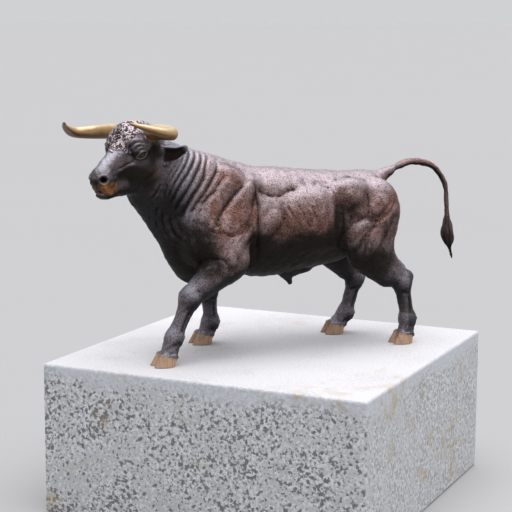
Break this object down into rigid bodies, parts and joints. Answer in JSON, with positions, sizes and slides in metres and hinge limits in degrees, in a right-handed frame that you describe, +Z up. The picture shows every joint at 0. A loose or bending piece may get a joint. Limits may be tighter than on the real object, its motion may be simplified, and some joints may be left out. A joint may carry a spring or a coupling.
{
  "type": "bull sculpture",
  "caption": "Striding bull cast in bronze, head turned to its left and tail raised, standing on a square granite plinth; ornamental sculpture.",
  "frame": {"origin": "centre of the plinth's underside", "axes": "+Z up, the bull's length along X with its muzzle towards -X and its left side towards -Y; the plinth's sides are turned 41.4 degrees to them"},
  "size_m": [0.6318, 0.6318, 0.5182],
  "materials": {
    "bronze": "dark brown patina over bronze, rubbed lighter on the back and muscles, golden horns and tan hooves",
    "granite": "light grey granite, sawn top and speckled sides"
  },
  "bodies": {
    "root": {"bull": "bronze", "plinth": "granite"}
  },
  "joints": []
}
